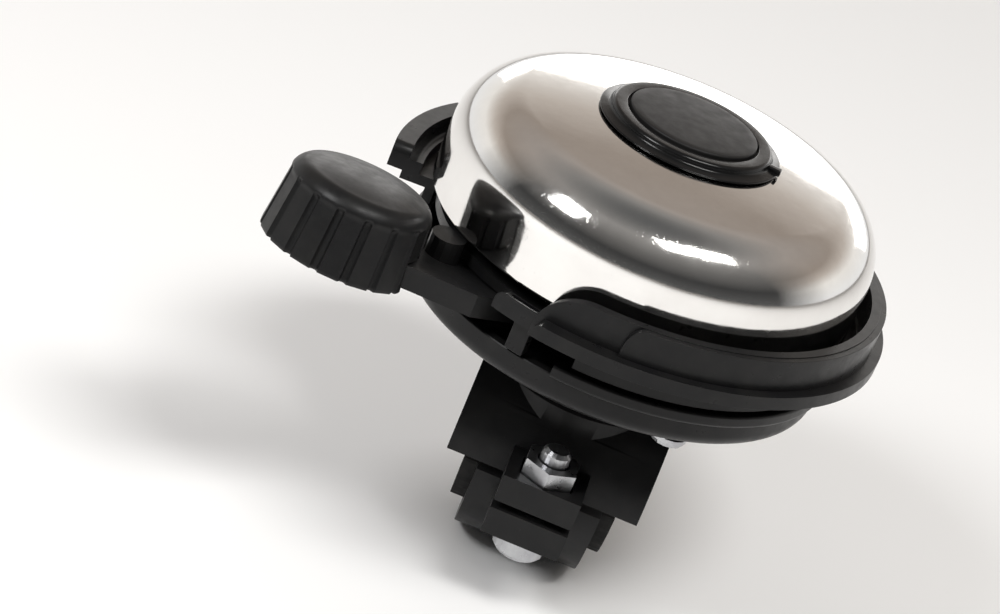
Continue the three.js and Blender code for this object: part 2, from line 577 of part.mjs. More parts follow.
function thumbLever() {
  const hub = rod(HUB_RADIUS, COVER_FLOOR + 0.45, LEVER_TOP, 30);
  const bore = rod(BOSS_RADIUS + FIT, COVER_FLOOR - 1, LEVER_TOP + 1, 30);
  const pegAt = polar(SPRING_PEG_CIRCLE, SPRING_MOVING_ANGLE + SPRING_PEG_STEP);
  const springPeg = rodAt(pegAt.x, pegAt.y, SPRING_PEG_RADIUS, COVER_FLOOR + 0.9, LEVER_BOTTOM + 0.5, 16);
  const underFloor = rod(SKIRT_INNER, LEVER_TOP, FENCE_TOP, 40);
  const arm = cut(armSlab(0, 0.8, 4), underFloor);
  const studAt = polar(GONG_RADIUS + STUD_OFFSET, KNOB_ANGLE + 3.86);
  const stud = rodAt(studAt.x, studAt.y, STUD_RADIUS, FLOOR_BOTTOM - 1.2, RIM_Z - 0.5);
  const round = KNOB_BORE - FIT;
  const spigot = ontoKnob(turned([[0, 0.8], [round, 0.8], [round, 7.4], [round - 0.5, 7.9], [0, 7.9]], 28));
  return cut(join(leverDisc(), hub, springPeg, arm, stud, spigot), bore);
}

function knobProfile() {
  const fillet = 2.5;
  const crown = 0.8;
  const edge = KNOB_HEIGHT - crown - fillet;
  const bore = [[0, 8.3], [KNOB_BORE, 8.3], [KNOB_BORE, 0]];
  const points = [...bore, [KNOB_FOOT_RADIUS - 0.3, 0], [KNOB_FOOT_RADIUS, 0.3], [KNOB_RADIUS, edge]];
  for (let i = 1; i <= 4; i++) {
    const a = (i * Math.PI) / 8;
    points.push([KNOB_RADIUS - fillet + fillet * Math.cos(a), edge + fillet * Math.sin(a)]);
  }
  points.push([3.6, KNOB_HEIGHT - 0.2], [0, KNOB_HEIGHT]);
  return points;
}

function leverKnob() {
  const half = KNOB_GROOVE_WIDTH / 2;
  const depth = KNOB_RADIUS - KNOB_GROOVE_DEPTH;
  const groove = box([depth, -half, -1], [KNOB_FOOT_RADIUS + 1, half, KNOB_HEIGHT - 2.94]);
  let knob = turned(knobProfile(), 32);
  for (let i = 0; i < KNOB_GROOVES; i++) {
    knob = cut(knob, groove.rotate([0, 0, ((i + KNOB_PHASE) * 360) / KNOB_GROOVES]));
  }
  return cut(ontoKnob(knob), armSlab(0.4, -1, 4.4));
}

// ---- The return spring ---------------------------------------------------------------------------------
function returnSpring() {
  const low = COVER_FLOOR + 1.1;
  const high = COVER_FLOOR + 3.6;
  const turn = SPRING_MOVING_ANGLE + 720 - SPRING_FIXED_ANGLE;
  const path = [];
  const add = (radius, angle, z) => {
    const at = polar(radius, angle);
    path.push(new THREE.Vector3(at.x, at.y, z));
  };
  add(SPRING_LEG_END, SPRING_FIXED_ANGLE, low);
  add(SPRING_LEG_END - 2.2, SPRING_FIXED_ANGLE, low);
  add(COIL_RADIUS + 1, SPRING_FIXED_ANGLE + 1.5, low);
  const steps = 42;
  for (let i = 1; i < steps; i++) {
    add(COIL_RADIUS, SPRING_FIXED_ANGLE + (turn * i) / steps, low + ((high - low) * i) / steps);
  }
  add(COIL_RADIUS + 1, SPRING_MOVING_ANGLE - 1.5, high);
  add(SPRING_LEG_END - 2.2, SPRING_MOVING_ANGLE, high);
  add(SPRING_LEG_END, SPRING_MOVING_ANGLE, high);
  const round = new THREE.Shape();
  round.absarc(0, 0, SPRING_WIRE_RADIUS, 0, Math.PI * 2, false);
  const options = { steps: 56, curveSegments: 2, extrudePath: new THREE.CatmullRomCurve3(path) };
  return solid(new THREE.ExtrudeGeometry(round, options));
}

// ---- The gears and the striker rotor -------------------------------------------------------------------
function idlerGear() {
  const small = plate(gearOutline(IDLER_SMALL_TEETH, IDLER_ANGLE), LEVER_BOTTOM - 0.7, LEVER_TOP + 0.1);
  const barrel = rod(MODULE * 2.85, LEVER_TOP - 0.5, GEAR_BOTTOM + 0.5, 20);
  const large = plate(gearOutline(IDLER_LARGE_TEETH, IDLER_ANGLE + 180), GEAR_BOTTOM, GEAR_BOTTOM + 1.7);
  const bore = rod(IDLER_PIN_RADIUS + FIT, LEVER_BOTTOM - 3, GEAR_BOTTOM + 4, 20);
  const lightening = [0, 1, 2, 3].map((i) => {
    const at = polar(IDLER_LARGE_TEETH * MODULE * 0.3, i * 90 + 45);
    return rodAt(at.x, at.y, MODULE * 2, GEAR_BOTTOM - 0.8, GEAR_BOTTOM + 3, 12);
  });
  const at = polar(IDLER_DISTANCE, IDLER_ANGLE);
  return cut(join(small, barrel, large), bore, ...lightening).translate([at.x, at.y, 0]);
}

function idlerPin() {
  const at = polar(IDLER_DISTANCE, IDLER_ANGLE);
  const bottom = COVER_BOTTOM + 1.1;
  const top = GEAR_BOTTOM + 2.05;
  const round = IDLER_PIN_RADIUS;
  const pin = turned([[0, bottom], [round, bottom], [round, top - 0.25], [round - 0.25, top], [0, top]], 20);
  return pin.translate([at.x, at.y, 0]);
}

function rotorPinion() {
  const phase = IDLER_ANGLE + 180 / ROTOR_TEETH;
  const teeth = plate(gearOutline(ROTOR_TEETH, phase), GEAR_BOTTOM - 0.1, GEAR_BOTTOM + 2);
  const hub = rod(4.2, GEAR_BOTTOM + 1.8, ARM_TOP + 0.1);
  return cut(join(teeth, hub), rod(JOURNAL_RADIUS + FIT, GEAR_BOTTOM - 2, ARM_TOP + 2));
}

function rotorArm() {
  const half = 4.4;
  const shape = new THREE.Shape();
  shape.absarc(STRIKER_CIRCLE, 0, half, -Math.PI / 2, Math.PI / 2, false);
  shape.lineTo(6.4, half);
  shape.absarc(0, 0, 7.7, rad(36), rad(144), false);
  shape.lineTo(-STRIKER_CIRCLE, half);
  shape.absarc(-STRIKER_CIRCLE, 0, half, Math.PI / 2, (3 * Math.PI) / 2, false);
  shape.lineTo(-6.4, -half);
  shape.absarc(0, 0, 7.7, rad(216), rad(324), false);
  shape.lineTo(STRIKER_CIRCLE, -half);
  const arm = plate(shape, ARM_BOTTOM, ARM_TOP);
  const holes = [rod(4.5, ARM_BOTTOM - 1, ARM_TOP + 1)];
  const pinRoom = STRIKER_PIN_RADIUS + 0.2;
  for (const side of [1, -1]) {
    holes.push(rodAt(side * STRIKER_CIRCLE, 0, pinRoom, ARM_BOTTOM - 1, ARM_TOP + 1, 14));
  }
  return cut(arm, ...holes).rotate([0, 0, ROTOR_REST]);
}

function strikerPin(side) {
  const bottom = ARM_BOTTOM - 0.1;
  const top = ARM_TOP + FIT + STRIKER_THICKNESS + 1;
  const head = STRIKER_HOLE + 0.5;
  const pin = turned([
    [0, bottom], [STRIKER_PIN_RADIUS, bottom], [STRIKER_PIN_RADIUS, top - 0.7], [head, top - 0.7],
    [head, top - 0.35], [head - 0.5, top], [0, top],
  ], 14);
  return pin.translate([side * STRIKER_CIRCLE, 0, 0]).rotate([0, 0, ROTOR_REST]);
}

function striker(side) {
  const bottom = ARM_TOP + FIT;
  const top = bottom + STRIKER_THICKNESS;
  const ring = turned([
    [STRIKER_HOLE, bottom], [STRIKER_RADIUS - 0.4, bottom], [STRIKER_RADIUS, bottom + 0.4],
    [STRIKER_RADIUS, top - 0.4], [STRIKER_RADIUS - 0.4, top], [STRIKER_HOLE, top],
  ], 22);
  return ring.translate([side * STRIKER_CIRCLE, 0, 0]).rotate([0, 0, ROTOR_REST]);
}

// ---- The clamp -----------------------------------------------------------------------------------------
// The half of the clamp's ring above or below the bar, with the ear that the clamp screw passes through.
// side is +1 for the saddle's half and -1 for the strap's.
function clampHalf(side, halfWidth) {
  const low = EAR_GAP / 2;
  const high = low + EAR_THICKNESS;
  const heights = side > 0 ? [low, high] : [-high, -low];
  const away = side > 0 ? [-60, low] : [-low, 60];
  const ring = cut(
    rodAlongX(0, 0, CLAMP_RADIUS, -halfWidth, halfWidth, 40),
    box([-60, -60, away[0]], [60, 60, away[1]]),
  );
  const wide = EAR_HALF_WIDTH;
  const ear = box([-wide, SCREW_Y - 4.5, heights[0]], [wide, -SADDLE_BORE - 1, heights[1]]);
  return join(ring, ear);
}

function clampSaddle() {
  const skirt = PEDESTAL_RADIUS + 0.2;
  const waist = PEDESTAL_RADIUS - 0.2;
  const knuckleEnd = STRAP_HALF_WIDTH;
  const pedestal = turned([
    [0, 4], [skirt, 4], [skirt, SADDLE_BORE - 1.4], [waist, SADDLE_BORE - 1], [waist, SADDLE_BORE - 0.4],
    [PEDESTAL_RADIUS, SADDLE_BORE], [PEDESTAL_RADIUS - 0.4, PEDESTAL_TOP], [0, PEDESTAL_TOP],
  ], 40);
  const knuckle = rodAlongX(HINGE_Y, 0, HINGE_KNUCKLE_RADIUS, -knuckleEnd, knuckleEnd, 28);
  const web = box([-knuckleEnd, SADDLE_BORE + 0.6, EAR_GAP / 2], [knuckleEnd, HINGE_Y, HINGE_KNUCKLE_RADIUS]);
  const room = TONGUE_HALF_WIDTH + FIT;
  const strapRoom = rodAlongX(HINGE_Y, 0, HINGE_KNUCKLE_RADIUS + 0.4, -room, room, 28);
  const bore = rodAlongX(0, 0, SADDLE_BORE, -30, 30, 40);
  const pinHole = rodAlongX(HINGE_Y, 0, HINGE_PIN_RADIUS + FIT, -12, 12, 24);
  const nutPocket = plate(hexagon(POST_NUT_FLATS + 2 * FIT), 0, SADDLE_BORE + POST_NUT_HEIGHT + 0.2);
  const postHole = rod(POST_RADIUS + FIT, 0, PEDESTAL_TOP + 1);
  const earTop = EAR_GAP / 2 + EAR_THICKNESS;
  const screwHole = rodAt(0, SCREW_Y, CLAMP_BOLT_RADIUS + FIT, -2, earTop + 3, 20);
  const pocket = plate(hexagon(CLAMP_NUT_FLATS + 2 * FIT, 0, SCREW_Y), earTop - 1.2, earTop + 2);
  return cut(
    join(pedestal, clampHalf(1, PEDESTAL_RADIUS), knuckle, web),
    bore, strapRoom, pinHole, nutPocket, postHole, screwHole, pocket,
  );
}

function clampStrap() {
  const tongue = TONGUE_HALF_WIDTH;
  const knuckle = rodAlongX(HINGE_Y, 0, HINGE_KNUCKLE_RADIUS, -tongue, tongue, 28);
  const web = box([-tongue, SADDLE_BORE + 0.6, -HINGE_KNUCKLE_RADIUS], [tongue, HINGE_Y, -EAR_GAP / 2]);
  const roomRadius = HINGE_KNUCKLE_RADIUS + 0.4;
  const lugRoom = join(
    rodAlongX(HINGE_Y, 0, roomRadius, -12, -tongue, 28),
    rodAlongX(HINGE_Y, 0, roomRadius, tongue, 12, 28),
  );
  const bore = rodAlongX(0, 0, SADDLE_BORE, -30, 30, 40);
  const pinHole = rodAlongX(HINGE_Y, 0, HINGE_PIN_RADIUS + FIT, -12, 12, 24);
  const round = CLAMP_BOLT_RADIUS + 0.4;
  const slot = join(
    rodAt(0, SCREW_Y - 0.5, round, -12, 4, 20),
    box([-round, SCREW_Y - 0.5, -12], [round, SCREW_Y + 0.5, 4]),
    rodAt(0, SCREW_Y + 0.5, round, -12, 4, 20),
  );
  return cut(join(cut(clampHalf(-1, STRAP_HALF_WIDTH), lugRoom), knuckle, web), bore, pinHole, slot);
}

function hingePin() {
  const half = STRAP_HALF_WIDTH + 0.4;
  const round = HINGE_PIN_RADIUS;
  const pin = turned([
    [0, -half], [round - 0.3, -half], [round, 0.4 - half],
    [round, half - 0.4], [round - 0.3, half], [0, half],
  ], 18);
  return pin.rotate([0, 90, 0]).translate([0, HINGE_Y, 0]);
}

function clampScrew() {
  const seat = -EAR_GAP / 2 - EAR_THICKNESS - FIT;
  const tip = EAR_GAP / 2 + EAR_THICKNESS + CLAMP_NUT_HEIGHT + 1;
  const head = CLAMP_HEAD_RADIUS;
  const foot = seat - CLAMP_HEAD_HEIGHT;
  const screw = turned([
    [0, foot], [head - 0.5, foot], [head, foot + 0.6], [head, seat], [CLAMP_BOLT_RADIUS, seat],
    [CLAMP_BOLT_RADIUS, tip - 0.5], [CLAMP_BOLT_RADIUS - 0.5, tip], [0, tip],
  ], 20);
  const socket = plate(hexagon(3), foot - 1, foot + 1.7);
  return cut(screw, socket).translate([0, SCREW_Y, 0]);
}

function clampNut() {
  const bottom = EAR_GAP / 2 + EAR_THICKNESS - 0.9;
  const top = bottom + CLAMP_NUT_HEIGHT;
  const nut = plate(hexagon(CLAMP_NUT_FLATS, 0, SCREW_Y), bottom, top);
  return cut(nut, rodAt(0, SCREW_Y, CLAMP_BOLT_RADIUS + FIT, bottom - 1, top + 1, 20));
}

function rubberShim() {
  const ring = cut(
    rodAlongX(0, 0, SHIM_RADIUS, -SHIM_HALF_WIDTH, SHIM_HALF_WIDTH, 40),
    rodAlongX(0, 0, BAR_RADIUS, -SHIM_HALF_WIDTH - 1, SHIM_HALF_WIDTH + 1, 40),
  );
  return cut(ring, box([-SHIM_HALF_WIDTH - 1, -SHIM_RADIUS - 5, -1.6], [SHIM_HALF_WIDTH + 1, -5, 1.6]));
}

// ---- The assembly --------------------------------------------------------------------------------------
const LOOKS = {
  polished_steel: { color: 0xd8d8da, roughness: 0.12, metalness: 1 },
  plated_steel: { color: 0xa9abad, roughness: 0.35, metalness: 1 },
  spring_steel: { color: 0x8d9094, roughness: 0.4, metalness: 1 },
  black_plastic: { color: 0x17181a, roughness: 0.45, metalness: 0 },
  gloss_black: { color: 0x101113, roughness: 0.25, metalness: 0 },
  nylon: { color: 0xe6e2d8, roughness: 0.5, metalness: 0 },
  rubber: { color: 0x202020, roughness: 0.85, metalness: 0 },
};

const bell = new THREE.Group();
bell.name = "bicycle_bell";

function add(name, look, body) {
  const mesh = new THREE.Mesh(shown(body), new THREE.MeshStandardMaterial(LOOKS[look]));
  mesh.name = name;
  bell.add(mesh);
}

add("gong_dome", "polished_steel", gongDome());
add("cap_nut", "gloss_black", capNut());
add("cap_disc", "black_plastic", capDisc());
add("gong_washer", "rubber", gongWasher());
add("gong_pillar", "nylon", gongPillar());
add("centre_post", "plated_steel", centrePost());
add("post_nut", "plated_steel", postNut());
add("base_tray", "black_plastic", baseTray());
add("lower_cover", "black_plastic", lowerCover());
SCREW_ANGLES.forEach((angle, i) => add(`cover_screw_${i + 1}`, "plated_steel", coverScrew(angle)));
add("thumb_lever", "black_plastic", thumbLever());
add("lever_knob", "black_plastic", leverKnob());
add("return_spring", "spring_steel", returnSpring());
add("idler_gear", "nylon", idlerGear());
add("idler_pin", "plated_steel", idlerPin());
add("rotor_pinion", "nylon", rotorPinion());
add("rotor_arm", "plated_steel", rotorArm());
add("striker_pin_1", "plated_steel", strikerPin(1));
add("striker_pin_2", "plated_steel", strikerPin(-1));
add("striker_1", "plated_steel", striker(1));
add("striker_2", "plated_steel", striker(-1));
add("clamp_saddle", "black_plastic", clampSaddle());
add("clamp_strap", "black_plastic", clampStrap());
add("hinge_pin", "plated_steel", hingePin());
add("clamp_screw", "plated_steel", clampScrew());
add("clamp_nut", "plated_steel", clampNut());
add("rubber_shim", "rubber", rubberShim());

export default bell;
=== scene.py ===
import json
import math

import bmesh
import bpy
from mathutils import Matrix, Vector


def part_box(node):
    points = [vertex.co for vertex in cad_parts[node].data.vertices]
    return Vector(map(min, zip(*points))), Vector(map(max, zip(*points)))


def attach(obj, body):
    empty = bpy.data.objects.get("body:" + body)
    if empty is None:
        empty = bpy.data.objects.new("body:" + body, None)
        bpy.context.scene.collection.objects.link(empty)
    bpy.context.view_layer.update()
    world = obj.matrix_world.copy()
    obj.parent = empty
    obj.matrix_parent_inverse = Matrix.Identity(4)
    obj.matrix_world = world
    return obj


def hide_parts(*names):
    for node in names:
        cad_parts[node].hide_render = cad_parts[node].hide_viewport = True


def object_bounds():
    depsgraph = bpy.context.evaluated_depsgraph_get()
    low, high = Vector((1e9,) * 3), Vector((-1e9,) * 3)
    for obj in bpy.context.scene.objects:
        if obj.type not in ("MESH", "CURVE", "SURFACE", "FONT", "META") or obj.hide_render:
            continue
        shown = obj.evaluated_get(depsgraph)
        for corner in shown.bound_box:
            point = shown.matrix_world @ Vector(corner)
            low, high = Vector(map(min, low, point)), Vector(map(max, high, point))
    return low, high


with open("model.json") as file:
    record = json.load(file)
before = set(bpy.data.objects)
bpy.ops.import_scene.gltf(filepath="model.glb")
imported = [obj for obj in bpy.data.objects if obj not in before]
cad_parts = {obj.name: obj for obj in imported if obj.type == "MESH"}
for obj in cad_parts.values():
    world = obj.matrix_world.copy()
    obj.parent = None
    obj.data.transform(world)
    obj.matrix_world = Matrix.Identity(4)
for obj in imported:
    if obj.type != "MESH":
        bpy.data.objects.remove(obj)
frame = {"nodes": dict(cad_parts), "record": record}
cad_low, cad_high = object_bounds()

# ---- Sizes, in millimetres, taken from the CAD frame ----------------------------------------------------
MM = 0.001
GONG_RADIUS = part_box("gong_dome")[1].x / MM
RIM_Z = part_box("gong_dome")[0].z / MM
FENCE_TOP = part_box("base_tray")[1].z / MM
COVER_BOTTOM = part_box("lower_cover")[0].z / MM
CAP_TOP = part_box("cap_nut")[1].z / MM
LEDGE_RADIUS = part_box("base_tray")[1].x / MM
APEX = CAP_TOP - 1.2
SEAT_Z = APEX - 1.6
FLOOR_BOTTOM = FENCE_TOP - 7.7
FLOOR_TOP = FLOOR_BOTTOM + 1.5
COVER_FLOOR = COVER_BOTTOM + 1.5
COVER_RIM = COVER_BOTTOM + 5.85
COVER_RADIUS = GONG_RADIUS - 0.3
NOTCH_FLOOR = COVER_BOTTOM + 4.15
LEDGE_BOTTOM = FENCE_TOP - 6.5
LEDGE_TOP = FENCE_TOP - 4.6
FLOOR_RADIUS = GONG_RADIUS + 1.9
SHEET = 1.0
CROWN_RADIUS = 160.0
SHOULDER_RADIUS = 8.65
SCREW_ANGLES = (-62, 52, 164)
SCREW_CIRCLE = 25.6

# Where the guard's parts start and stop, in degrees.
FLOOR_START = -119.2
GUARD_START, GUARD_END = -107.6, 152
POST_END = -103
REAR_START, REAR_END = 148, 184

CLAMP_BORE = 12.9
CLAMP_OUTSIDE = 15.9
HINGE_Y = 17.6
BOLT_Y = -19.5
KNUCKLE = 3.2
EAR = (0.6, 4.6)  # the clamp's ears lie between these distances from the bar's middle
IDLER = (15.035, 5.472)
KNOB_AT = Vector((-36.57, -26.46, FENCE_TOP - 10))
KNOB_AXIS = Vector((math.tan(math.radians(3.8)), math.tan(math.radians(8.3)), 1)).normalized()
KNOB_RADIUS = 9.8
KNOB_FOOT = 10.5
KNOB_HEIGHT = 11.4
KNOB_PANELS = 16
GROOVE_TURN = 0.3  # in panels, how far the grooves are turned back from the knob's own X
GROOVE_REACH = 0.55  # half a groove's width
GROOVE_DEPTH = 0.62
GROOVE_TOP = 8.9
GROOVE_FADE = 0.7  # the height over which a groove runs out


# ---- Shape helpers --------------------------------------------------------------------------------------
def arc(centre, radius, start, end, steps):
    """Points (r, z) round part of a circle, angles in degrees."""
    points = []
    for i in range(steps + 1):
        angle = math.radians(start + (end - start) * i / steps)
        points.append((centre[0] + radius * math.cos(angle), centre[1] + radius * math.sin(angle)))
    return points


def sweep(rows, closed):
    """Joins rows of points, in millimetres, into one closed solid."""
    bm = bmesh.new()
    made = [[bm.verts.new(Vector(p) * MM) for p in row] for row in rows]
    count = len(made)
    size = len(made[0])
    for i in range(count if closed else count - 1):
        a, b = made[i], made[(i + 1) % count]
        for j in range(size):
            k = (j + 1) % size
            bm.faces.new((a[j], b[j], b[k], a[k]))
    if not closed:
        bm.faces.new(made[0][::-1])
        bm.faces.new(made[-1])
    bmesh.ops.remove_doubles(bm, verts=bm.verts, dist=1e-7)
    bmesh.ops.recalc_face_normals(bm, faces=bm.faces)
    return bm


def revolve(profile, start=0.0, end=360.0, steps=None):
    """A closed outline of (radius, height) turned about Z."""
    closed = end - start >= 360
    steps = steps or max(3, round((end - start) / 2))
    rows = []
    for i in range(steps if closed else steps + 1):
        angle = math.radians(start + (end - start) * i / steps)
        rows.append([(r * math.cos(angle), r * math.sin(angle), z) for r, z in profile])
    return sweep(rows, closed)


def rod(x, y, radius, bottom, top, steps=48):
    bm = revolve([(0, bottom), (radius, bottom), (radius, top), (0, top)], steps=steps)
    bmesh.ops.translate(bm, verts=bm.verts, vec=Vector((x, y, 0)) * MM)
    return bm


def tube(inner, outer, bottom, top, steps=72):
    return revolve([(inner, bottom), (outer, bottom), (outer, top), (inner, top)], steps=steps)


def rod_along_x(y, z, radius, left, right, steps=120):
    bm = rod(0, 0, radius, left, right, steps)
    turn = Matrix.Translation(Vector((0, y, z)) * MM) @ Matrix.Rotation(math.pi / 2, 4, "Y")
    bmesh.ops.transform(bm, matrix=turn, verts=bm.verts)
    return bm


def block(low, high):
    (x0, y0, z0), (x1, y1, z1) = low, high
    rows = [[(x, y0, z0), (x, y1, z0), (x, y1, z1), (x, y0, z1)] for x in (x0, x1)]
    return sweep(rows, False)


def six_sided(flats, x, y, bottom, top):
    corner = flats / math.sqrt(3)
    bm = revolve([(0, bottom), (corner, bottom), (corner, top), (0, top)], steps=6)
    turn = Matrix.Translation(Vector((x, y, 0)) * MM) @ Matrix.Rotation(math.pi / 6, 4, "Z")
    bmesh.ops.transform(bm, matrix=turn, verts=bm.verts)
    return bm


def end_angles(start, end, radius, round_start, round_end):
    """Angles along a wall, closer together where its ends are rounded."""
    angles = {start, end}
    for length, corner, side in ((round_start, start, 1), (round_end, end, -1)):
        if not length:
            continue
        span = math.degrees(length[0] / radius)
        for i in range(1, 17):
            angles.add(corner + side * span * (1 - math.cos(i * math.pi / 32)))
    first = start + (math.degrees(round_start[0] / radius) if round_start else 0)
    last = end - (math.degrees(round_end[0] / radius) if round_end else 0)
    count = max(1, round((last - first) / 2))
    angles.update(first + (last - first) * i / count for i in range(count + 1))
    ordered = sorted(angles)
    kept = [ordered[0]]
    for angle in ordered[1:]:
        if angle - kept[-1] > 0.02:
            kept.append(angle)
    return kept


def corner_drop(distance, corner):
    """How far a wall's top has come down at a distance from its rounded end."""
    if not corner or distance >= corner[0]:
        return 0.0
    share = 1 - distance / corner[0]
    return corner[1] * (1 - math.sqrt(max(0.0, 1 - share * share)))


def wall(inner, outer, start, end, bottom, top, round_start=None, round_end=None):
    """A curved wall about Z whose ends can come down in a rounded corner of (length, depth)."""
    middle = (inner + outer) / 2
    rows = []
    for angle in end_angles(start, end, middle, round_start, round_end):
        turn = math.radians(angle)
        drop = corner_drop(math.radians(angle - start) * middle, round_start)
        drop += corner_drop(math.radians(end - angle) * middle, round_end)
        height = max(bottom + 0.2, top - drop)
        outline = ((inner, bottom), (outer, bottom), (outer, height), (inner, height))
        rows.append([(r * math.cos(turn), r * math.sin(turn), z) for r, z in outline])
    return sweep(rows, False)


def soften(bm, width=0.25, segments=3, sharp=32):
    """Rounds every edge sharper than an angle."""
    limit = math.radians(sharp)
    edges = [e for e in bm.edges if len(e.link_faces) == 2 and e.calc_face_angle() > limit]
    bmesh.ops.bevel(
        bm, geom=edges, offset=width * MM, offset_type="OFFSET", segments=segments,
        profile=0.5, affect="EDGES", clamp_overlap=True,
    )
    return bm


def as_object(bm, name):
    mesh = bpy.data.meshes.new(name)
    bm.to_mesh(mesh)
    bm.free()
    made = bpy.data.objects.new(name, mesh)
    bpy.context.scene.collection.objects.link(made)
    return made


def as_mesh(piece):
    """Takes an object back to a mesh that can be joined again."""
    bm = bmesh.new()
    bm.from_mesh(piece.data)
    bpy.data.objects.remove(piece)
    return bm


def combine(name, solids, cutters=()):
    """One solid from several that overlap, less the cutters."""
    whole = as_object(solids[0], name)
    tools = [(as_object(s, "tool"), "UNION") for s in solids[1:]]
    tools += [(as_object(c, "tool"), "DIFFERENCE") for c in cutters]
    for tool, way in tools:
        change = whole.modifiers.new("join", "BOOLEAN")
        change.solver = "EXACT"
        change.operation = way
        change.object = tool
    evaluated = whole.evaluated_get(bpy.context.evaluated_depsgraph_get())
    mesh = bpy.data.meshes.new_from_object(evaluated)
    whole.modifiers.clear()
    whole.data = mesh
    for tool, _ in tools:
        bpy.data.objects.remove(tool)
    return whole


def shade(piece, sharp=40):
    """Smooth shading that keeps hard edges and flat faces."""
    piece.data.shade_smooth()
    piece.data.set_sharp_from_angle(angle=math.radians(sharp))
    weigh = piece.modifiers.new("even_normals", "WEIGHTED_NORMAL")
    weigh.keep_sharp = True


def place(piece, body, look, slot, *nodes):
    """Finishes a new piece: its material, the body it rides on and the nodes it stands for."""
    piece.data.materials.clear()
    piece.data.materials.append(look)
    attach(piece, body)
    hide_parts(*nodes)
    return piece


def onto_knob(bm):
    """Moves a solid from the knob's own frame to the bell's."""
    turn = Vector((0, 0, 1)).rotation_difference(KNOB_AXIS)
    placed = Matrix.Translation(KNOB_AT * MM) @ turn.to_matrix().to_4x4()
    bmesh.ops.transform(bm, matrix=placed, verts=bm.verts)
    return bm


# ---- Materials ------------------------------------------------------------------------------------------
class Look:
    """A material's node tree, with short ways to add what every finish needs."""

    def __init__(self, name, color, metallic, roughness):
        self.material = bpy.data.materials.new(name)
        self.material.use_nodes = True
        self.tree = self.material.node_tree
        self.shader = self.tree.nodes["Principled BSDF"]
        self.shader.inputs["Base Color"].default_value = (*color, 1)
        self.shader.inputs["Metallic"].default_value = metallic
        self.shader.inputs["Roughness"].default_value = roughness
        self.shader.inputs["Specular IOR Level"].default_value = 0.5 if metallic else 0.22
        self.place = self.tree.nodes.new("ShaderNodeTexCoord").outputs["Object"]
        self.height = None

    def node(self, kind, **inputs):
        made = self.tree.nodes.new(kind)
        for name, value in inputs.items():
            socket = made.inputs[name.replace("_", " ")]
            if hasattr(value, "is_output"):
                self.tree.links.new(value, socket)
            else:
                socket.default_value = value
        return made

    def stretched(self, scale, turn=(0, 0, 0)):
        mapping = self.node("ShaderNodeMapping", Vector=self.place)
        mapping.inputs["Scale"].default_value = scale
        mapping.inputs["Rotation"].default_value = turn
        return mapping.outputs["Vector"]

    def noise(self, scale, detail=4.0, rough=0.5, vector=None):
        made = self.node("ShaderNodeTexNoise", Vector=vector or self.place, Scale=scale, Detail=detail)
        made.inputs["Roughness"].default_value = rough
        return made.outputs["Fac"]

    def remap(self, value, low, high, to_low, to_high):
        made = self.node("ShaderNodeMapRange", Value=value)
        limits = {"From Min": low, "From Max": high, "To Min": to_low, "To Max": to_high}
        for name, number in limits.items():
            made.inputs[name].default_value = number
        return made.outputs["Result"]

    def blend(self, share, first, second):
        made = self.tree.nodes.new("ShaderNodeMix")
        made.data_type = "RGBA"
        self.tree.links.new(share, made.inputs["Factor"])
        for socket, color in ((made.inputs["A"], first), (made.inputs["B"], second)):
            if hasattr(color, "is_output"):
                self.tree.links.new(color, socket)
            else:
                socket.default_value = (*color, 1)
        return made.outputs["Result"]

    def color(self, output):
        self.tree.links.new(output, self.shader.inputs["Base Color"])

    def roughness(self, output):
        self.tree.links.new(output, self.shader.inputs["Roughness"])

    def bump(self, output, distance, strength=1.0):
        made = self.node("ShaderNodeBump", Height=output, Strength=strength)
        made.inputs["Distance"].default_value = distance
        if self.height is not None:
            self.tree.links.new(self.height, made.inputs["Normal"])
        self.height = made.outputs["Normal"]
        self.tree.links.new(self.height, self.shader.inputs["Normal"])

    def scratches(self, scale, turn, keep):
        """Thin marks all lying one way, as a mask."""
        lines = self.noise(scale, 3, 0.6, self.stretched((1, 0.035, 1), turn))
        patches = self.noise(90, 2, 0.5)
        thin = self.remap(lines, keep, keep + 0.03, 0, 1)
        where = self.remap(patches, 0.5, 0.62, 0, 1)
        made = self.node("ShaderNodeMath")
        made.operation = "MULTIPLY"
        self.tree.links.new(thin, made.inputs[0])
        self.tree.links.new(where, made.inputs[1])
        return made.outputs["Value"]


def polished_steel():
    """Bright plate with a faint haze, fine scratches, a trace of orange peel and a little dust."""
    look = Look("polished_steel", (0.83, 0.82, 0.80), 1.0, 0.07)
    cloud = look.noise(160, 5, 0.6)
    haze = look.blend(look.remap(cloud, 0.35, 0.7, 0, 1), (0.86, 0.85, 0.83), (0.80, 0.785, 0.765))
    dust = look.remap(look.noise(4200, 1, 0.5), 0.76, 0.80, 0, 0.35)
    look.color(look.blend(dust, haze, (0.42, 0.40, 0.37)))
    look.roughness(look.remap(look.noise(420, 6, 0.65), 0.3, 0.75, 0.05, 0.13))
    look.bump(look.noise(900, 3, 0.5), 0.0000040)
    look.bump(look.noise(5200, 2, 0.5), 0.0000012)
    look.bump(look.scratches(2600, (0, 0, 0.6), 0.66), 0.0000020)
    look.bump(look.scratches(2400, (0.3, 0.2, -0.9), 0.67), 0.0000020)
    return look.material


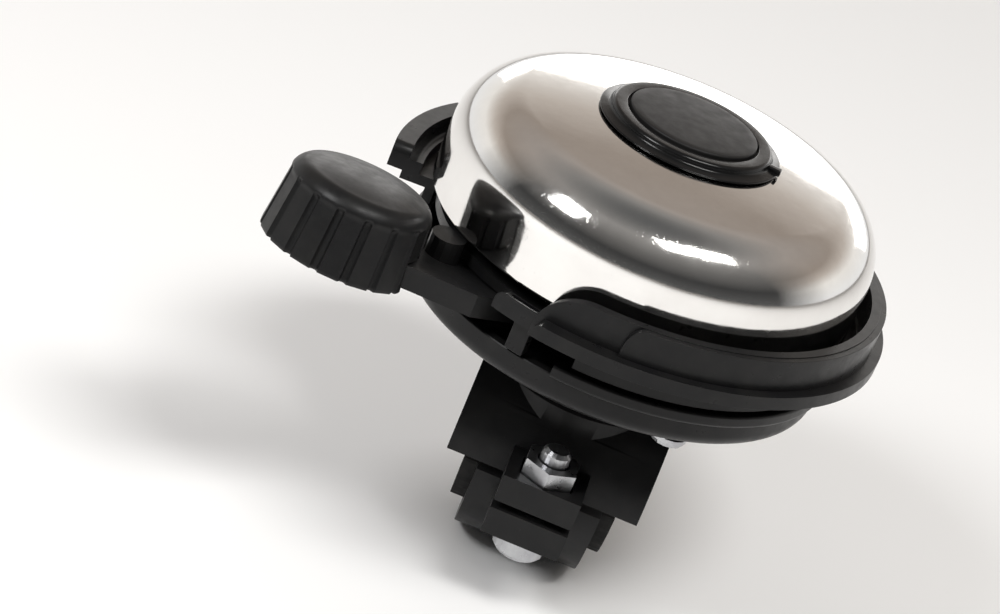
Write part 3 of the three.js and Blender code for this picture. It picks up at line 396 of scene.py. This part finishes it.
def moulded_plastic(name, color, worn, low, high, grain, depth):
    """Black plastic: a fine spark-eroded grain, faint rub marks and dust caught in it."""
    look = Look(name, color, 0.0, (low + high) / 2)
    rub = look.remap(look.noise(240, 6, 0.6), 0.42, 0.72, 0, 1)
    specks = look.remap(look.noise(5200, 1, 0.5), 0.75, 0.79, 0, 0.5)
    base = look.blend(rub, color, worn)
    look.color(look.blend(specks, base, (0.06, 0.057, 0.054)))
    look.roughness(look.remap(look.noise(520, 5, 0.6), 0.3, 0.7, low, high))
    look.bump(look.noise(grain, 2, 0.5), depth)
    look.bump(look.noise(330, 2, 0.5), 0.000010)
    look.bump(look.scratches(2200, (0.2, 0.1, 0.9), 0.67), 0.000003)
    return look.material


def plated_steel(name="plated_steel", color=(0.52, 0.53, 0.54), dark=(0.40, 0.40, 0.42)):
    look = Look(name, color, 1.0, 0.34)
    look.color(look.blend(look.remap(look.noise(300, 5, 0.6), 0.35, 0.7, 0, 1), color, dark))
    look.roughness(look.remap(look.noise(900, 4, 0.6), 0.3, 0.7, 0.24, 0.42))
    look.bump(look.noise(2600, 3, 0.5), 0.000004)
    return look.material


def natural_nylon():
    look = Look("nylon", (0.74, 0.71, 0.63), 0.0, 0.45)
    aged = look.remap(look.noise(220, 4, 0.5), 0.4, 0.7, 0, 1)
    look.color(look.blend(aged, (0.76, 0.73, 0.66), (0.68, 0.64, 0.55)))
    look.shader.inputs["Subsurface Weight"].default_value = 0.15
    look.shader.inputs["Subsurface Radius"].default_value = (0.0015, 0.0012, 0.0008)
    look.roughness(look.remap(look.noise(800, 3, 0.5), 0.3, 0.7, 0.38, 0.52))
    look.bump(look.noise(1800, 2, 0.5), 0.000006)
    return look.material


def soft_rubber():
    look = Look("rubber", (0.014, 0.014, 0.014), 0.0, 0.8)
    bloom = look.remap(look.noise(350, 5, 0.6), 0.4, 0.7, 0, 1)
    look.color(look.blend(bloom, (0.013, 0.013, 0.013), (0.026, 0.025, 0.024)))
    look.roughness(look.remap(look.noise(900, 4, 0.6), 0.3, 0.7, 0.68, 0.9))
    look.bump(look.noise(3200, 3, 0.6), 0.000012)
    return look.material


STEEL = polished_steel()
PLATED = plated_steel()
SPRING = plated_steel("spring_steel", (0.40, 0.41, 0.43), (0.30, 0.30, 0.32))
SATIN = moulded_plastic(
    "satin_black", color=(0.0085, 0.0085, 0.009), worn=(0.013, 0.0128, 0.0125),
    low=0.30, high=0.46, grain=5200, depth=0.0000050,
)
BASE_BLACK = moulded_plastic(
    "base_black", color=(0.0075, 0.0075, 0.008), worn=(0.012, 0.0118, 0.0115),
    low=0.26, high=0.42, grain=6200, depth=0.0000035,
)
GLOSS = moulded_plastic(
    "gloss_black", color=(0.006, 0.006, 0.0063), worn=(0.0085, 0.0085, 0.0085),
    low=0.13, high=0.24, grain=4200, depth=0.0000016,
)
MATTE = moulded_plastic(
    "matte_black", color=(0.010, 0.0095, 0.0095), worn=(0.014, 0.0135, 0.013),
    low=0.44, high=0.56, grain=4600, depth=0.0000060,
)
NYLON = natural_nylon()
RUBBER = soft_rubber()
CAD_LOOKS = {
    "plated_steel": PLATED, "spring_steel": SPRING, "black_plastic": BASE_BLACK, "gloss_black": GLOSS,
    "nylon": NYLON, "rubber": RUBBER, "polished_steel": STEEL,
}


# ---- The gong and its cap -------------------------------------------------------------------------------
def gong_line(offset):
    """The gong's outside, or with an offset its inside, from the dished middle to the rim."""
    crown = APEX - CROWN_RADIUS
    across = GONG_RADIUS - SHOULDER_RADIUS
    reach = CROWN_RADIUS - SHOULDER_RADIUS
    shoulder = crown + math.sqrt(reach * reach - across * across)
    meet = math.degrees(math.atan2(shoulder - crown, across))
    line = [(6.5, SEAT_Z - offset), (9.9 - offset * 0.2, SEAT_Z - offset)]
    line += [(10.5, SEAT_Z + 0.35 - offset), (11.1, APEX - 0.62 - offset)]
    for i in range(12):
        r = 11.8 + (across - 11.8) * i / 12
        line.append((r, crown + math.sqrt((CROWN_RADIUS - offset) ** 2 - r * r)))
    line += arc((across, shoulder), SHOULDER_RADIUS - offset, meet, 0, 28)
    return line


def make_gong():
    outside = gong_line(0)
    inside = gong_line(SHEET)
    lip = arc((GONG_RADIUS - SHEET / 2, RIM_Z + SHEET / 2), SHEET / 2, 0, -180, 8)
    gong = as_object(revolve(outside + lip + inside[::-1], steps=240), "gong_shell")
    shade(gong, 50)
    place(gong, "base", STEEL, "polished_steel", "gong_dome")


def make_cap():
    under = APEX - 0.3
    profile = [
        (0, SEAT_Z + 0.9), (2.8, SEAT_Z + 0.9), (2.8, SEAT_Z - 4.8), (6.1, SEAT_Z - 4.8),
        (6.1, SEAT_Z + 0.3), (9.7, SEAT_Z + 0.3), (10.3, under), (12.5, under),
    ]
    profile += arc((12.6, under + 0.17), 0.15, -90, 90, 6)
    profile += [(11.75, under + 0.42), (11.45, under + 0.62), (11.34, under + 0.85)]
    profile += arc((10.74, CAP_TOP - 0.6), 0.6, 0, 90, 10)
    profile += arc((9.45, CAP_TOP - 0.2), 0.2, 90, 180, 5)
    profile += [(9.25, CAP_TOP - 1.1), (0, CAP_TOP - 1.1)]
    lug = soften(wall(11.2, 13.1, -11, -5, under, under + 0.9), 0.2)
    ring = combine("cap_ring", [revolve(profile, steps=180), lug])
    shade(ring, 45)
    place(ring, "base", GLOSS, "gloss_black", "cap_nut")


def make_cap_button():
    bottom = CAP_TOP - 0.85
    profile = [(0, bottom), (8.95, bottom), (8.95, CAP_TOP + 0.1)]
    profile += arc((8.65, CAP_TOP + 0.12), 0.3, 0, 75, 5)
    for i in range(1, 12):
        r = 8.5 * (1 - i / 12)
        profile.append((r, CAP_TOP + 0.42 + 0.28 * (1 - (r / 8.5) ** 2)))
    profile.append((0, CAP_TOP + 0.7))
    button = as_object(revolve(profile, steps=180), "cap_button")
    shade(button, 45)
    place(button, "base", MATTE, "black_plastic", "cap_disc")


# ---- The base and its cover -----------------------------------------------------------------------------
def screw_places():
    """The x and y of each screw that holds the cover."""
    for angle in SCREW_ANGLES:
        turn = math.radians(angle)
        yield SCREW_CIRCLE * math.cos(turn), SCREW_CIRCLE * math.sin(turn)


def make_base():
    inner = GONG_RADIUS + 1.7
    band_out = GONG_RADIUS + 3.85
    ledge_in, set_back = FLOOR_RADIUS - 0.6, FLOOR_RADIUS - 0.3
    band_top, rear_top, set_back_top = FENCE_TOP - 0.1, FENCE_TOP - 3, FENCE_TOP - 2.1
    post_top = FENCE_TOP - 5
    rear_in, rear_out = GONG_RADIUS + 3.3, GONG_RADIUS + 5.9
    solids = [
        tube(2.8, 28.2, FLOOR_BOTTOM, FLOOR_TOP, 180),
        wall(27.8, FLOOR_RADIUS, FLOOR_START, REAR_END, FLOOR_BOTTOM, FLOOR_TOP),
        soften(wall(inner, inner + 1.3, GUARD_START, GUARD_END, FLOOR_BOTTOM, FENCE_TOP, (7, 6)), 0.22),
        soften(wall(inner + 0.62, band_out, -87.5, GUARD_END, LEDGE_TOP - 0.6, band_top, (2.2, 3.6)), 0.28),
        soften(wall(ledge_in, LEDGE_RADIUS, -106, REAR_END, LEDGE_BOTTOM, LEDGE_TOP, (1.0, 0.9)), 0.25),
        soften(
            wall(rear_in, rear_out, REAR_START, REAR_END, LEDGE_BOTTOM, rear_top, (0.9, 0.9), (1.4, 1.4)),
            0.35,
        ),
        wall(FLOOR_RADIUS - 0.8, rear_in + 0.4, REAR_START, REAR_END, FLOOR_BOTTOM, FLOOR_TOP),
        soften(wall(30.6, FLOOR_RADIUS, FLOOR_START, POST_END, FLOOR_BOTTOM, post_top, (1.4, 1.4)), 0.2),
        soften(wall(30.9, set_back, -115.6, POST_END, FLOOR_BOTTOM, set_back_top, (1.0, 1.0)), 0.15),
        soften(wall(28.5, 30.0, -96, 181, COVER_RIM + 0.4, FLOOR_BOTTOM + 0.4), 0.15),
        soften(wall(28.3, 30.3, -113.5, -108.5, NOTCH_FLOOR + 0.3, FLOOR_BOTTOM + 0.4), 0.2),
        tube(2.8, 6, COVER_FLOOR + 0.35, FLOOR_BOTTOM + 0.5),
        tube(2.8, 4.6, FLOOR_TOP - 0.5, FLOOR_TOP + 0.8),
    ]
    cutters = [rod(*IDLER, 5.2, FLOOR_BOTTOM - 1, FLOOR_TOP + 1)]
    for x, y in screw_places():
        solids.append(rod(x, y, 2.1, COVER_FLOOR + 0.7, FLOOR_BOTTOM + 0.5))
        cutters.append(rod(x, y, 1.5, COVER_FLOOR - 1, COVER_FLOOR + 5.9, 32))
    base = combine("base_guard", solids, cutters)
    shade(base)
    place(base, "base", BASE_BLACK, "black_plastic", "base_tray")


def make_cover():
    wall_in = COVER_RADIUS - 1.5
    bowl = [(2.9, COVER_BOTTOM), (COVER_RADIUS - 2.1, COVER_BOTTOM)]
    bowl += arc((COVER_RADIUS - 2.1, COVER_BOTTOM + 2.1), 2.1, -85, 0, 12)
    bowl += [(COVER_RADIUS, NOTCH_FLOOR - 0.15), (COVER_RADIUS - 0.15, NOTCH_FLOOR), (wall_in, NOTCH_FLOOR)]
    bowl += arc((wall_in - 0.7, COVER_FLOOR + 0.7), 0.7, 0, -90, 5)
    bowl += [(2.9, COVER_FLOOR)]
    side = COVER_RADIUS - 0.02
    rim = [(wall_in, NOTCH_FLOOR - 0.4), (side, NOTCH_FLOOR - 0.4), (side, COVER_RIM - 2.0)]
    rim += arc((COVER_RADIUS + 0.3, COVER_RIM - 1.3), 0.6, -70, 0, 5)
    rim += arc((COVER_RADIUS + 0.5, COVER_RIM - 0.4), 0.4, 0, 90, 5)
    rim += [(wall_in, COVER_RIM)]
    solids = [revolve(bowl), revolve(rim, -100, 181)]
    solids.append(rod(*IDLER, 3.2, COVER_FLOOR - 0.5, COVER_FLOOR + 3.65))
    peg = math.radians(91.8)
    solids.append(rod(13 * math.cos(peg), 13 * math.sin(peg), 1.2, COVER_FLOOR - 0.5, COVER_FLOOR + 4, 32))
    cutters = [rod(*IDLER, 1.65, COVER_BOTTOM + 0.8, COVER_FLOOR + 6, 40)]
    for x, y in screw_places():
        cutters.append(rod(x, y, 1.55, COVER_BOTTOM - 1, COVER_FLOOR + 1, 32))
    cover = combine("cover_bowl", solids, cutters)
    shade(cover)
    place(cover, "base", BASE_BLACK, "black_plastic", "lower_cover")


# ---- The thumb knob -------------------------------------------------------------------------------------
def knob_radius(angle, height, plain):
    """The knob's side: flat panels between narrow upright grooves that run out near the top."""
    pitch = 2 * math.pi / KNOB_PANELS
    across = (angle / pitch + GROOVE_TURN) % 1 - 0.5
    flat = math.cos(pitch / 2) / math.cos(across * pitch)
    edge = 0.5 - abs(across)
    groove = max(0.0, 1 - (edge * pitch * plain / GROOVE_REACH) ** 2) ** 0.5
    fade = min(1.0, max(0.0, (GROOVE_TOP - height) / GROOVE_FADE))
    fade = fade * fade * (3 - 2 * fade)
    panel = 1 - (1 - flat) * 0.9 * fade
    return plain * panel - GROOVE_DEPTH * groove * fade


def make_knob():
    fillet, crown = 2.5, 0.8
    edge = KNOB_HEIGHT - crown - fillet
    levels = [(KNOB_FOOT - 0.35, 0.0), (KNOB_FOOT - 0.1, 0.1), (KNOB_FOOT, 0.35)]
    for i in range(1, 30):
        z = 0.35 + (edge - 0.35) * i / 30
        levels.append((KNOB_FOOT + (KNOB_RADIUS - KNOB_FOOT) * i / 30, z))
    levels += arc((KNOB_RADIUS - fillet, edge), fillet, 0, 84, 14)
    top_r, top_z = levels[-1]
    for i in range(1, 9):
        r = top_r * (1 - i / 9)
        levels.append((r, top_z + (KNOB_HEIGHT - top_z) * (1 - (r / top_r) ** 2)))
    rows = []
    steps = 480
    for i in range(steps):
        angle = 2 * math.pi * (i + 0.5) / steps
        row = [(0, 0, 0)]
        for r, z in levels:
            bent = knob_radius(angle, z, r) if r > 7.6 else r
            row.append((bent * math.cos(angle), bent * math.sin(angle), z))
        row.append((0, 0, KNOB_HEIGHT))
        rows.append(row)
    body = onto_knob(sweep(rows, True))
    socket = onto_knob(revolve([(0, -1), (6.8, -1), (6.8, 8.3), (0, 8.3)], steps=72))
    notch = onto_knob(slab(0.4, -1, 4.4))
    knob = combine("knob_cap", [body], [socket, notch])
    shade(knob, 55)
    place(knob, "lever", SATIN, "black_plastic", "lever_knob")


def slab(spread, low, high):
    """The lever's arm in the knob's own frame, grown by a gap."""
    outline = (
        (-9.5, -20.2), (-14.4, -25.2 - spread), (-17.5, -28.2 - spread), (-28.5, -29.9 - spread),
        (-33.6 - spread, -32.2 - spread), (-36.6 - spread, -26.5), (-34.2 - spread, -20.4 + spread),
        (-28.6, -18.8 + spread), (-25.6, -14.6 + spread), (-21.2, -8.4 + spread),
    )
    turn = Vector((0, 0, 1)).rotation_difference(KNOB_AXIS).inverted()
    up = turn @ Vector((0, 0, 1))
    rows = []
    for height in (low, high):
        row = []
        for x, y in outline:
            foot = turn @ (Vector((x, y, KNOB_AT.z)) - KNOB_AT)
            row.append(tuple(foot + up * ((height - foot.z) / up.z)))
        rows.append(row)
    return sweep(rows, False)


# ---- The clamp ------------------------------------------------------------------------------------------
def half_ring(side, half_width):
    """Half of the clamp's ring with its ear. side is +1 above the bar and -1 below it."""
    low, high = sorted((side * EAR[0], side * EAR[1]))
    ear = block((-5.5, BOLT_Y - 4.5, low), (5.5, -CLAMP_BORE - 1, high))
    away = sorted((side * EAR[0], -side * 40))
    other_half = block((-40, -40, away[0]), (40, 40, away[1]))
    return [rod_along_x(0, 0, CLAMP_OUTSIDE, -half_width, half_width), ear], other_half


def break_edges(piece, width, segments=3):
    """Softly rounded edges that follow the piece's own corners."""
    edge = piece.modifiers.new("broken_edges", "BEVEL")
    edge.width = width * MM
    edge.segments = segments
    edge.limit_method = "ANGLE"
    edge.angle_limit = math.radians(35)
    edge.use_clamp_overlap = True


def make_saddle():
    top = COVER_BOTTOM - 0.3
    waist = [(13.4, CLAMP_BORE - 1), (13.4, CLAMP_BORE - 0.4), (13.6, CLAMP_BORE)]
    outline = [(0, 4), (13.8, 4), (13.8, CLAMP_BORE - 1.4), *waist, (13.2, top), (0, top)]
    ring, below = half_ring(1, 13.8)
    shell = combine("upper_half", ring, [below])
    saddle_parts = [revolve(outline), rod_along_x(HINGE_Y, 0, KNUCKLE, -9, 9, 72)]
    saddle_parts.append(block((-9, CLAMP_BORE + 0.6, EAR[0]), (9, HINGE_Y, KNUCKLE)))
    cutters = [
        rod_along_x(0, 0, CLAMP_BORE, -30, 30), rod_along_x(HINGE_Y, 0, KNUCKLE + 0.4, -4.6, 4.6, 72),
        rod_along_x(HINGE_Y, 0, 1.8, -12, 12, 48), rod(0, 0, 2.8, 0, top + 1), rod(0, BOLT_Y, 2.3, -2, 8),
        six_sided(8.6, 0, 0, 0, CLAMP_BORE + 3.3), six_sided(7.6, 0, BOLT_Y, 3.4, 7),
    ]
    saddle = combine("clamp_upper", [as_mesh(shell), *saddle_parts], cutters)
    break_edges(saddle, 0.3)
    shade(saddle)
    place(saddle, "base", SATIN, "black_plastic", "clamp_saddle")


def make_strap():
    ring, above = half_ring(-1, 9)
    lug_room = [rod_along_x(HINGE_Y, 0, KNUCKLE + 0.4, a, b, 72) for a, b in ((-12, -4.3), (4.3, 12))]
    shell = combine("lower_half", ring, [above, *lug_room])
    tongue = [rod_along_x(HINGE_Y, 0, KNUCKLE, -4.3, 4.3, 72)]
    tongue.append(block((-4.3, CLAMP_BORE + 0.6, -KNUCKLE), (4.3, HINGE_Y, -EAR[0])))
    cutters = [
        rod_along_x(0, 0, CLAMP_BORE, -30, 30), rod_along_x(HINGE_Y, 0, 1.8, -12, 12, 48),
        rod(0, BOLT_Y - 0.5, 2.4, -12, 4), rod(0, BOLT_Y + 0.5, 2.4, -12, 4),
    ]
    strap = combine("clamp_lower", [as_mesh(shell), *tongue], cutters)
    break_edges(strap, 0.3)
    shade(strap)
    place(strap, "strap", SATIN, "black_plastic", "clamp_strap")


# ---- The spring and the CAD nodes that keep their shape -------------------------------------------------
def make_spring():
    low, high = COVER_FLOOR + 1.1, COVER_FLOOR + 3.6
    fixed, moving, coil, wire_radius = 100.0, 191.8, 9.3, 0.45
    points = []
    for radius, angle in ((14.6, fixed), (12.4, fixed), (10.4, fixed + 1)):
        points.append((radius, angle, low))
    turn = moving + 720 - fixed
    for i in range(1, 72):
        points.append((coil, fixed + turn * i / 72, low + (high - low) * i / 72))
    for radius, angle in ((10.4, moving - 1), (12.4, moving), (14.6, moving)):
        points.append((radius, angle, high))
    curve = bpy.data.curves.new("coil_spring", "CURVE")
    curve.dimensions = "3D"
    curve.bevel_depth = wire_radius * MM
    curve.bevel_resolution = 5
    curve.use_fill_caps = True
    spline = curve.splines.new("POLY")
    spline.points.add(len(points) - 1)
    for point, (radius, angle, z) in zip(spline.points, points):
        turn_by = math.radians(angle)
        point.co = (radius * math.cos(turn_by) * MM, radius * math.sin(turn_by) * MM, z * MM, 1)
    made = bpy.data.objects.new("coil_spring", curve)
    bpy.context.scene.collection.objects.link(made)
    curve.materials.append(SPRING)
    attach(made, "base")
    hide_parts("return_spring")


def finish_node(name, look, width):
    """A CAD node that stays: a procedural finish and softly broken edges."""
    node = frame["nodes"][name]
    node.data.materials.clear()
    node.data.materials.append(look)
    break_edges(node, width, 2)
    shade(node, 35)


def finish_cad_nodes():
    slots = {row["node"]: row["material_slot"] for row in frame["record"]["subparts"]}
    for name, node in frame["nodes"].items():
        if node.hide_render:
            continue
        look = SATIN if name == "thumb_lever" else CAD_LOOKS[slots[name]]
        finish_node(name, look, 0.25 if name.startswith(("thumb", "clamp")) else 0.1)


# ---- Floor, light and camera ----------------------------------------------------------------------------
def make_floor():
    mesh = bpy.data.meshes.new("floor")
    half, z = 3.0, cad_low.z - 0.0005
    corners = [(-half, -half, z), (half, -half, z), (half, half, z), (-half, half, z)]
    mesh.from_pydata(corners, [], [(0, 1, 2, 3)])
    floor = bpy.data.objects.new("floor", mesh)
    bpy.context.scene.collection.objects.link(floor)
    look = Look("floor", (0.93, 0.93, 0.93), 0.0, 0.7)
    mesh.materials.append(look.material)


def soft_light(name, place_at, target, size, power, color):
    data = bpy.data.lights.new(name, "AREA")
    data.shape = "RECTANGLE"
    data.size, data.size_y = size
    data.energy = power
    data.color = color
    made = bpy.data.objects.new(name, data)
    made.location = place_at
    made.rotation_mode = "QUATERNION"
    made.rotation_quaternion = (Vector(target) - Vector(place_at)).to_track_quat("-Z", "Y")
    bpy.context.scene.collection.objects.link(made)


def studio_ramp(tree, height, stops):
    """Colours by height above the horizon, from 0 at the horizon to 1 overhead."""
    ramp = tree.nodes.new("ShaderNodeValToRGB")
    tree.links.new(height, ramp.inputs["Fac"])
    first, second = ramp.color_ramp.elements
    for stop, (position, color) in zip((first, second), (stops[0], stops[-1])):
        stop.position = position
        stop.color = (*color, 1)
    for position, color in stops[1:-1]:
        ramp.color_ramp.elements.new(position).color = (*color, 1)
    return ramp.outputs["Color"]


def make_world():
    """A studio with a white backdrop, a dim ceiling and a dark side behind the camera."""
    world = bpy.data.worlds.new("studio")
    world.use_nodes = True
    tree = world.node_tree
    split = tree.nodes.new("ShaderNodeSeparateXYZ")
    tree.links.new(tree.nodes.new("ShaderNodeTexCoord").outputs["Generated"], split.inputs["Vector"])
    behind = studio_ramp(tree, split.outputs["Z"], (
        (0.0, (0.92, 0.92, 0.92)), (0.28, (0.93, 0.90, 0.86)), (0.42, (0.56, 0.50, 0.45)),
        (0.54, (0.34, 0.29, 0.25)), (0.76, (0.38, 0.34, 0.31)), (0.90, (0.26, 0.25, 0.24)),
        (1.0, (0.12, 0.12, 0.12)),
    ))
    front = studio_ramp(tree, split.outputs["Z"], (
        (0.0, (0.10, 0.10, 0.10)), (0.3, (0.05, 0.05, 0.05)), (0.6, (0.16, 0.155, 0.15)),
        (0.85, (0.30, 0.29, 0.28)), (1.0, (0.12, 0.12, 0.12)),
    ))
    side = tree.nodes.new("ShaderNodeMapRange")
    side.inputs["From Min"].default_value = -0.25
    side.inputs["From Max"].default_value = 0.30
    tree.links.new(split.outputs["Y"], side.inputs["Value"])
    mix = tree.nodes.new("ShaderNodeMix")
    mix.data_type = "RGBA"
    tree.links.new(side.outputs["Result"], mix.inputs["Factor"])
    tree.links.new(front, mix.inputs["A"])
    tree.links.new(behind, mix.inputs["B"])
    tree.links.new(mix.outputs["Result"], tree.nodes["Background"].inputs["Color"])
    bpy.context.scene.world = world


def make_camera():
    data = bpy.data.cameras.new("camera")
    data.lens = 108
    data.sensor_width = 36
    data.clip_start = 0.01
    camera = bpy.data.objects.new("camera", data)
    right = Vector((0.92401, 0.16738, 0.34378)).normalized()
    up = Vector((-0.38236, 0.40448, 0.83078)).normalized()
    back = right.cross(up).normalized()
    turn = Matrix((right, up, back)).transposed()
    camera.matrix_world = Matrix.Translation((-0.01441, -0.36962, 0.19530)) @ turn.to_4x4()
    bpy.context.scene.collection.objects.link(camera)
    bpy.context.scene.camera = camera


bpy.context.scene.view_settings.view_transform = "Standard"
make_camera()
make_world()
make_floor()
soft_light("box_right", (0.25, -0.30, 0.75), (0.01, 0, 0.04), (0.42, 0.16), 4.2, (1, 0.99, 0.97))
soft_light("box_left", (-0.42, -0.35, 0.50), (0, 0, 0.04), (0.18, 0.22), 2.8, (1, 1, 1))
soft_light("back", (0.1, 0.9, 0.22), (0, 0, 0.04), (1.0, 0.22), 1.5, (1, 0.98, 0.96))
make_gong()
make_cap()
make_cap_button()
make_base()
make_cover()
make_knob()
make_saddle()
make_strap()
make_spring()
finish_cad_nodes()
